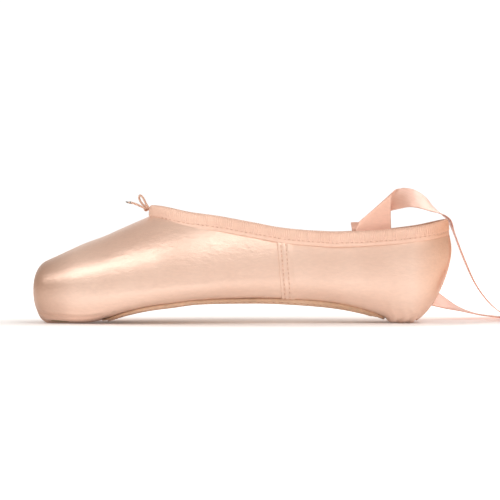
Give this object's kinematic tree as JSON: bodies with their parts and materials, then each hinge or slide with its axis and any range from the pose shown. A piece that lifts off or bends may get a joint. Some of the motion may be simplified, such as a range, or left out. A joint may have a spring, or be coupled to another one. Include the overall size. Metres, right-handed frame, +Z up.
{
  "type": "ballet slipper",
  "caption": "Satin pointe shoe with a stiffened toe box, leather outsole, corded binding and two sewn ankle ribbons.",
  "frame": {"origin": "middle of the flat that the heel rests on", "axes": "+Z up, -X towards the toe platform, +X towards the heel, +Y across the shoe"},
  "size_m": [0.2937, 0.0881, 0.076],
  "materials": {
    "satin": "smooth satin sheen",
    "binding": "ribbed",
    "lining": "matte cotton",
    "ribbon": "satin sheen",
    "thread": "matte",
    "cord": "braided",
    "frayed_end": "matte",
    "outsole_leather": "suede",
    "shank_board": "stiff leatherboard",
    "box_paste": "hardened cloth and paste",
    "insole_board": "fibreboard",
    "sock": "soft matte",
    "nails": "satin"
  },
  "bodies": {
    "shoe": {"vamp_satin": "satin", "quarter_satin_near": "satin", "quarter_satin_far": "satin", "heel_strip": "satin", "toe_box": "box_paste", "vamp_lining": "lining", "quarter_lining_near": "lining", "quarter_lining_far": "lining", "outsole": "outsole_leather", "shank": "shank_board", "insole_board": "insole_board", "sock_liner": "sock", "shank_nails": "nails", "side_seam_stitches_near": "thread", "side_seam_stitches_far": "thread", "sole_stitches": "thread", "binding": "binding", "binding_stitches": "thread", "drawstring": "cord", "ribbon_near": "ribbon", "ribbon_far": "ribbon", "ribbon_stitches_near": "thread", "ribbon_stitches_far": "thread"},
    "drawstring_bow": {"drawstring_loop": "cord", "drawstring_knot": "cord", "drawstring_tip": "frayed_end"}
  },
  "joints": [
    {"name": "drawstring_pull", "type": "slide", "parent": "shoe", "child": "drawstring_bow", "axis": [0, 0, 1], "range_m": [0, 0.006]}
  ]
}
